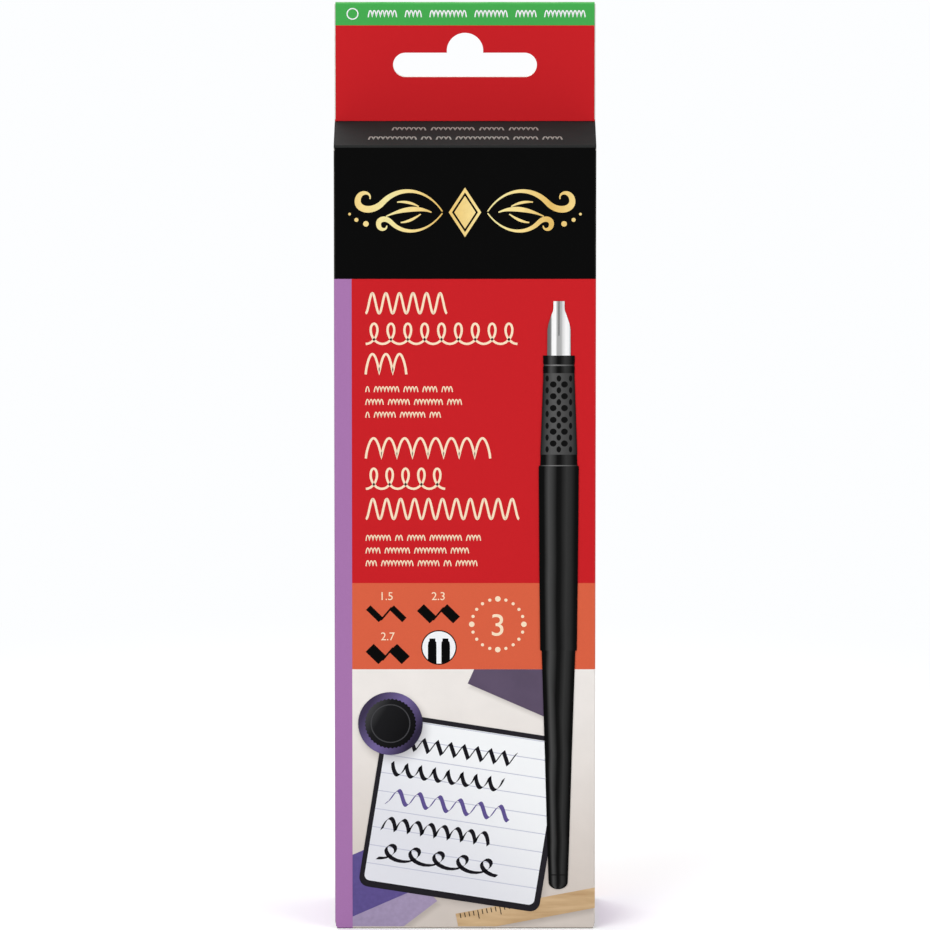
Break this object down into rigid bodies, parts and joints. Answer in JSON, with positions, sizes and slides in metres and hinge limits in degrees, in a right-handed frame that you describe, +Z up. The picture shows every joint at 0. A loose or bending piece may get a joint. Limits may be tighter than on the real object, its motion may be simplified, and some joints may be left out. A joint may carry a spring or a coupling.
{
  "type": "calligraphy set box",
  "caption": "Upright folding carton of printed board with a hang tab and a tuck-in lid, holding a card tray with a broad-nib pen, spare nib units, a cap and ink cartridges.",
  "frame": {"origin": "middle of the carton's base", "axes": "+Z up along the carton, +X to the right of a viewer facing the printed front, +Y from the front to the back"},
  "size_m": [0.058, 0.028, 0.2055],
  "materials": {
    "printed_board": "printed and matt laminated",
    "tray_board": "uncoated white board",
    "leaflet_paper": "uncoated paper",
    "pen_gloss": "polished black",
    "grip_plastic": "dark grey, soft touch",
    "nib_steel": "brushed",
    "feed_plastic": "moulded black",
    "liner_plastic": "moulded grey",
    "clip_chrome": "bright plated",
    "cartridge_plastic": "black ink seen through clear plastic",
    "seal_plastic": "white plastic"
  },
  "bodies": {
    "carton": {"front_panel": "printed_board", "left_side_panel": "printed_board", "right_side_panel": "printed_board", "back_panel": "printed_board", "hanger_panel": "printed_board", "tab_front_ply": "printed_board", "bottom_outer_panel": "printed_board", "bottom_inner_panel": "printed_board", "bottom_dust_flap_left": "printed_board", "bottom_dust_flap_right": "printed_board", "tray_platform": "tray_board", "tray_left_wall": "tray_board", "tray_right_wall": "tray_board", "tray_head_wall": "tray_board", "tray_foot_wall": "tray_board", "instruction_leaflet": "leaflet_paper", "pen_barrel": "pen_gloss", "pen_tail": "pen_gloss", "cap_shell": "pen_gloss", "spare_section_medium": "grip_plastic", "spare_section_fine": "grip_plastic", "spare_nib_medium": "nib_steel", "spare_nib_fine": "nib_steel", "spare_feed_medium": "feed_plastic", "spare_feed_fine": "feed_plastic", "cap_inner_liner": "liner_plastic", "cap_clip": "clip_chrome", "cartridge_lower": "cartridge_plastic", "cartridge_upper": "cartridge_plastic", "seal_ball_lower": "seal_plastic", "seal_ball_upper": "seal_plastic"},
    "lid": {"lid_panel": "printed_board"},
    "tuck_flap": {"lid_tuck_flap": "printed_board"},
    "left_dust_flap": {"top_dust_flap_left": "printed_board"},
    "right_dust_flap": {"top_dust_flap_right": "printed_board"},
    "nib_unit": {"pen_section": "grip_plastic", "pen_nib": "nib_steel", "pen_feed": "feed_plastic"}
  },
  "joints": [
    {"name": "lid_hinge", "type": "hinge", "parent": "carton", "child": "lid", "pos_m": [0, -0.014, 0.178], "axis": [1, 0, 0], "range_deg": [0, 180]},
    {"name": "tuck_fold", "type": "hinge", "parent": "lid", "child": "tuck_flap", "pos_m": [0, 0.0127, 0.178], "axis": [1, 0, 0], "range_deg": [0, 72]},
    {"name": "dust_fold_left", "type": "hinge", "parent": "carton", "child": "left_dust_flap", "pos_m": [-0.029, 0, 0.17735], "axis": [0, -1, 0], "range_deg": [0, 90]},
    {"name": "dust_fold_right", "type": "hinge", "parent": "carton", "child": "right_dust_flap", "pos_m": [0.029, 0, 0.17735], "axis": [0, 1, 0], "range_deg": [0, 90]},
    {"name": "section_turn", "type": "hinge", "parent": "carton", "child": "nib_unit", "pos_m": [-0.01692, -0.0047, 0.1174], "axis": [0, 0, 1], "range_deg": [0, 1080]}
  ],
  "couplings": [
    {"joint": "tuck_fold", "follows": "lid_hinge", "ratio": 0.4},
    {"joint": "dust_fold_left", "follows": "lid_hinge", "ratio": 0.5},
    {"joint": "dust_fold_right", "follows": "lid_hinge", "ratio": 0.5}
  ]
}
